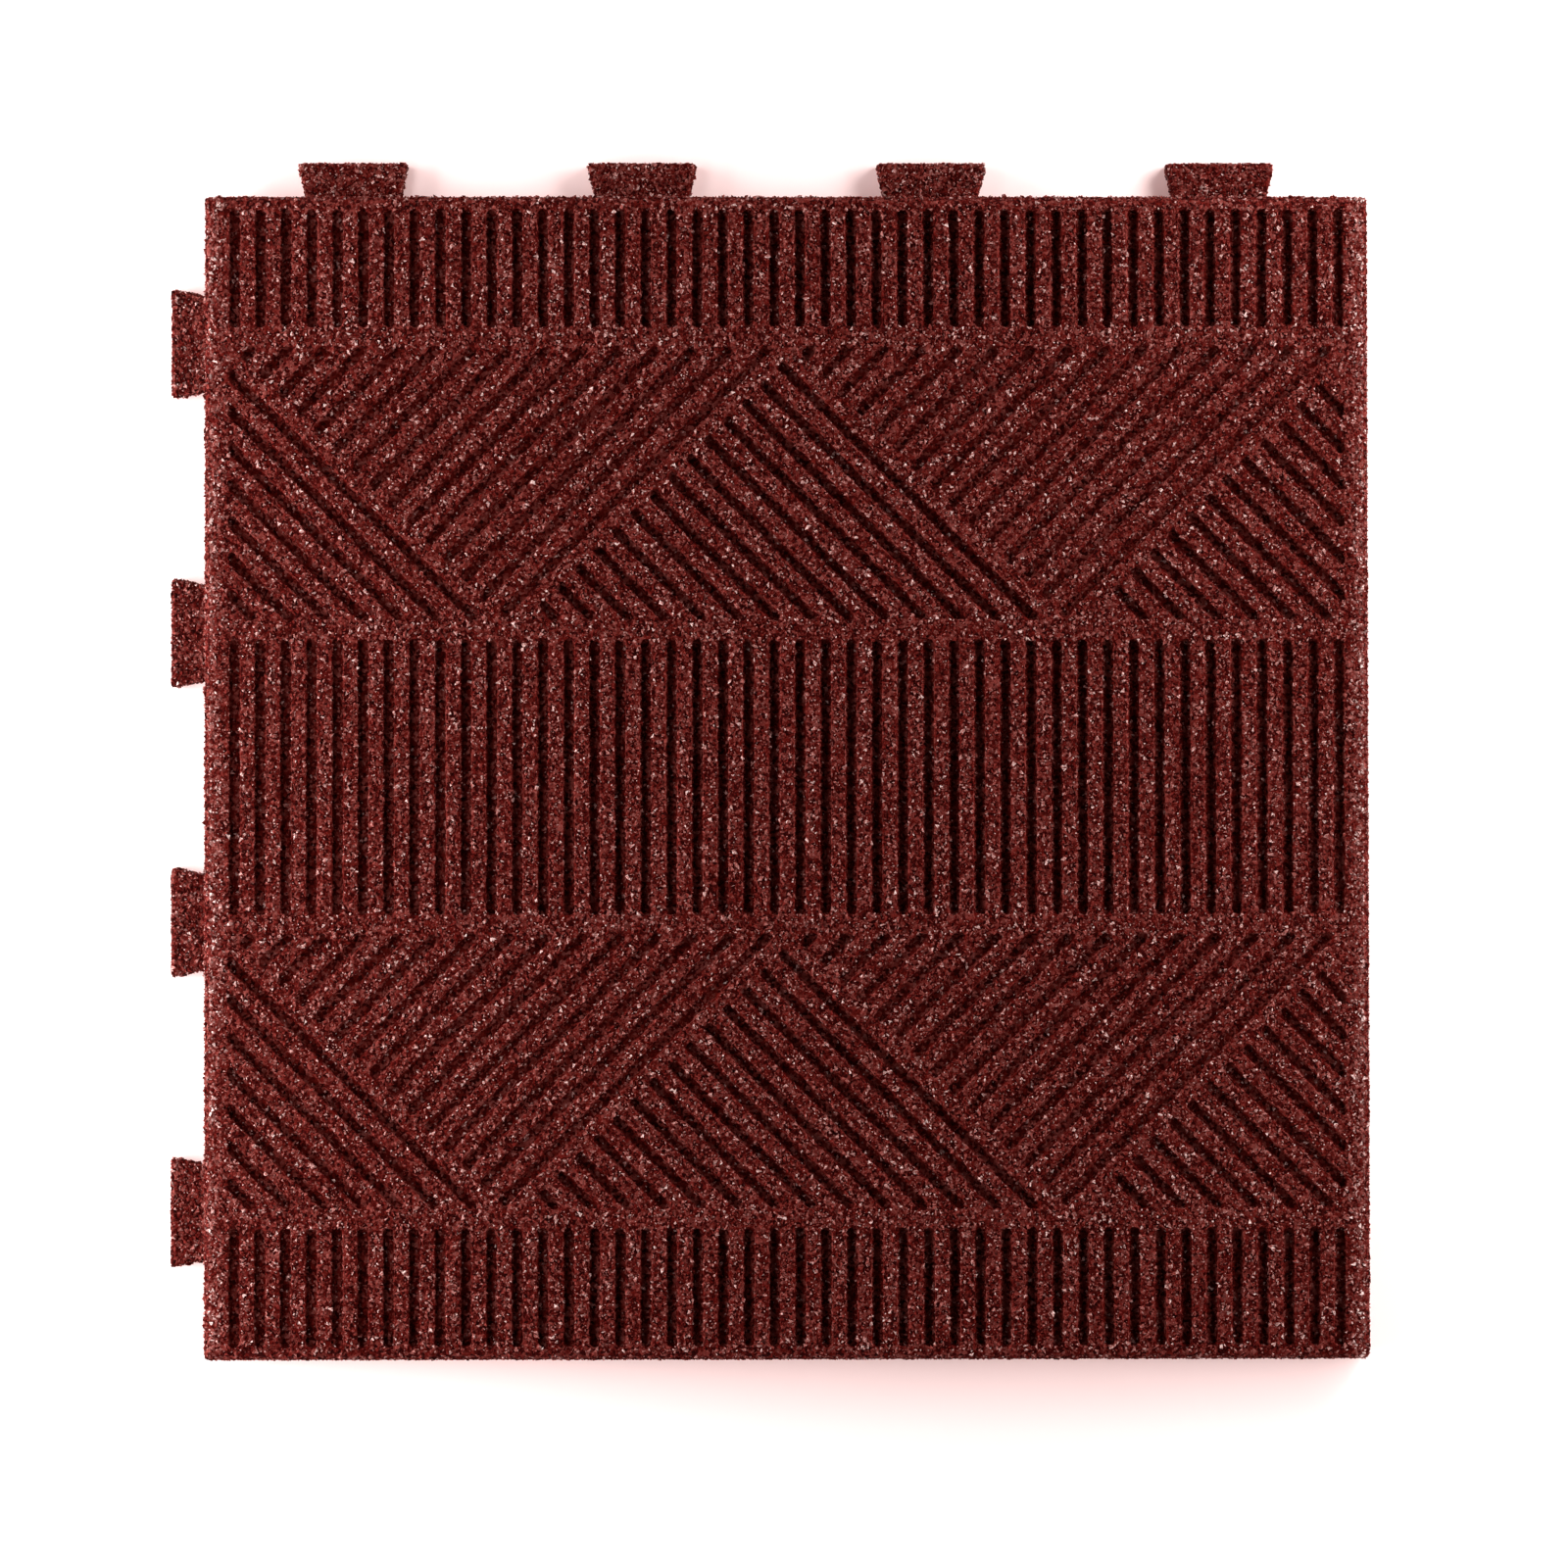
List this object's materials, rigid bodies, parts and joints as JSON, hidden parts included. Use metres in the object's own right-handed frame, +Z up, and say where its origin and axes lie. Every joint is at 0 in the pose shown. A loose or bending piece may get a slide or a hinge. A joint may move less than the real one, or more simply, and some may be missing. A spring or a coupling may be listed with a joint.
{
  "type": "interlocking rubber paver",
  "caption": "Square recycled-rubber paver with a grooved herringbone tread, dovetail tabs along two sides and matching sockets under the other two.",
  "frame": {"origin": "middle of the square slab's flat underside, where it lies on the ground; the tabs aren't counted in the middle", "axes": "+Z up through the tread, +X towards the right side and +Y towards the far side as seen from above with the picture's bottom edge nearest; tabs stand out of the -X and +Y sides, sockets are under the +X and -Y sides"},
  "size_m": [0.6286, 0.6286, 0.019],
  "materials": {
    "crumb_rubber": "matt dark red-brown bonded rubber crumb with pale flecks and a grainy, open surface"
  },
  "bodies": {
    "root": {"rubber_paver": "crumb_rubber"}
  },
  "joints": []
}
